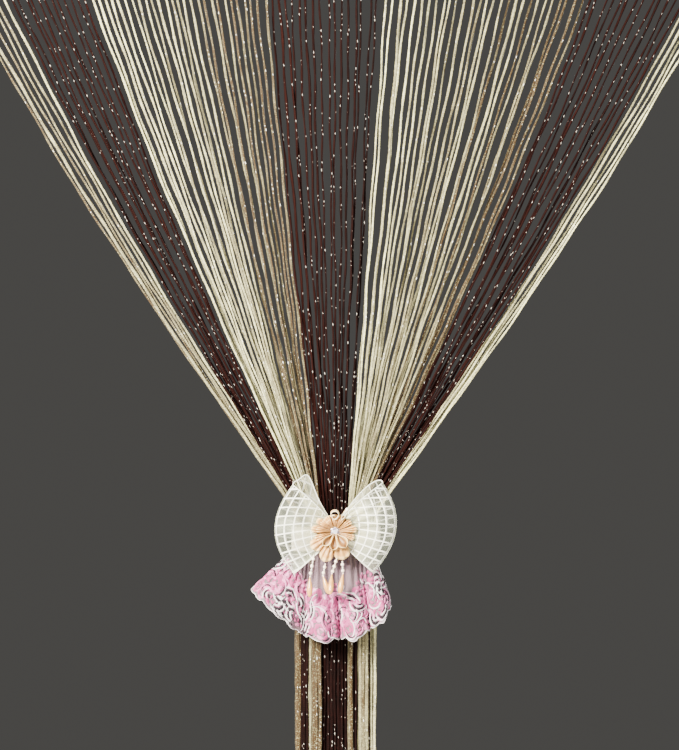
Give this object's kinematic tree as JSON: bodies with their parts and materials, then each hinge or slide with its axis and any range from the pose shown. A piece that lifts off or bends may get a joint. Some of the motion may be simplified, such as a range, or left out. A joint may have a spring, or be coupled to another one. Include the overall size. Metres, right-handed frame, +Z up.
{
  "type": "string curtain",
  "caption": "String curtain of cream and brown yarn on a rod pocket, gathered at mid height by a sheer bow, satin flower, pearl drops and a lace frill.",
  "frame": {"origin": "middle of the rod pocket's top edge, where the curtain hangs", "axes": "+X along the pocket to the viewer's right, front faces -Y, +Z up"},
  "size_m": [1, 0.0631, 2.0003],
  "materials": {
    "woven_heading": "matt woven tape",
    "ivory": "flat knitted yarn, soft sheen",
    "champagne": "flat knitted yarn, satin sheen",
    "brown": "flat knitted yarn with silver metallic flecks",
    "organza": "sheer ribbon with woven check lines",
    "peach_satin": "folded satin",
    "pink_lace": "embroidered net",
    "pearl": "pearl lustre",
    "crystal": "faceted, foil backed"
  },
  "bodies": {
    "root": {"rod_pocket": "woven_heading", "strands_1_cream_edge": "champagne", "strands_2_brown": "brown", "strands_3_cream": "ivory", "strands_4_brown": "brown", "strands_5_cream": "ivory", "strands_6_brown": "brown", "strands_7_cream_edge": "champagne", "tie_band": "ivory", "bow_loop_left": "organza", "bow_loop_right": "organza", "flower_front_petals": "peach_satin", "flower_back_petals": "peach_satin", "centre_stone": "crystal", "dangle_1": "pearl", "dangle_2": "pearl", "dangle_3": "pearl", "dangle_4": "pearl", "lace_frill": "pink_lace"}
  },
  "joints": []
}
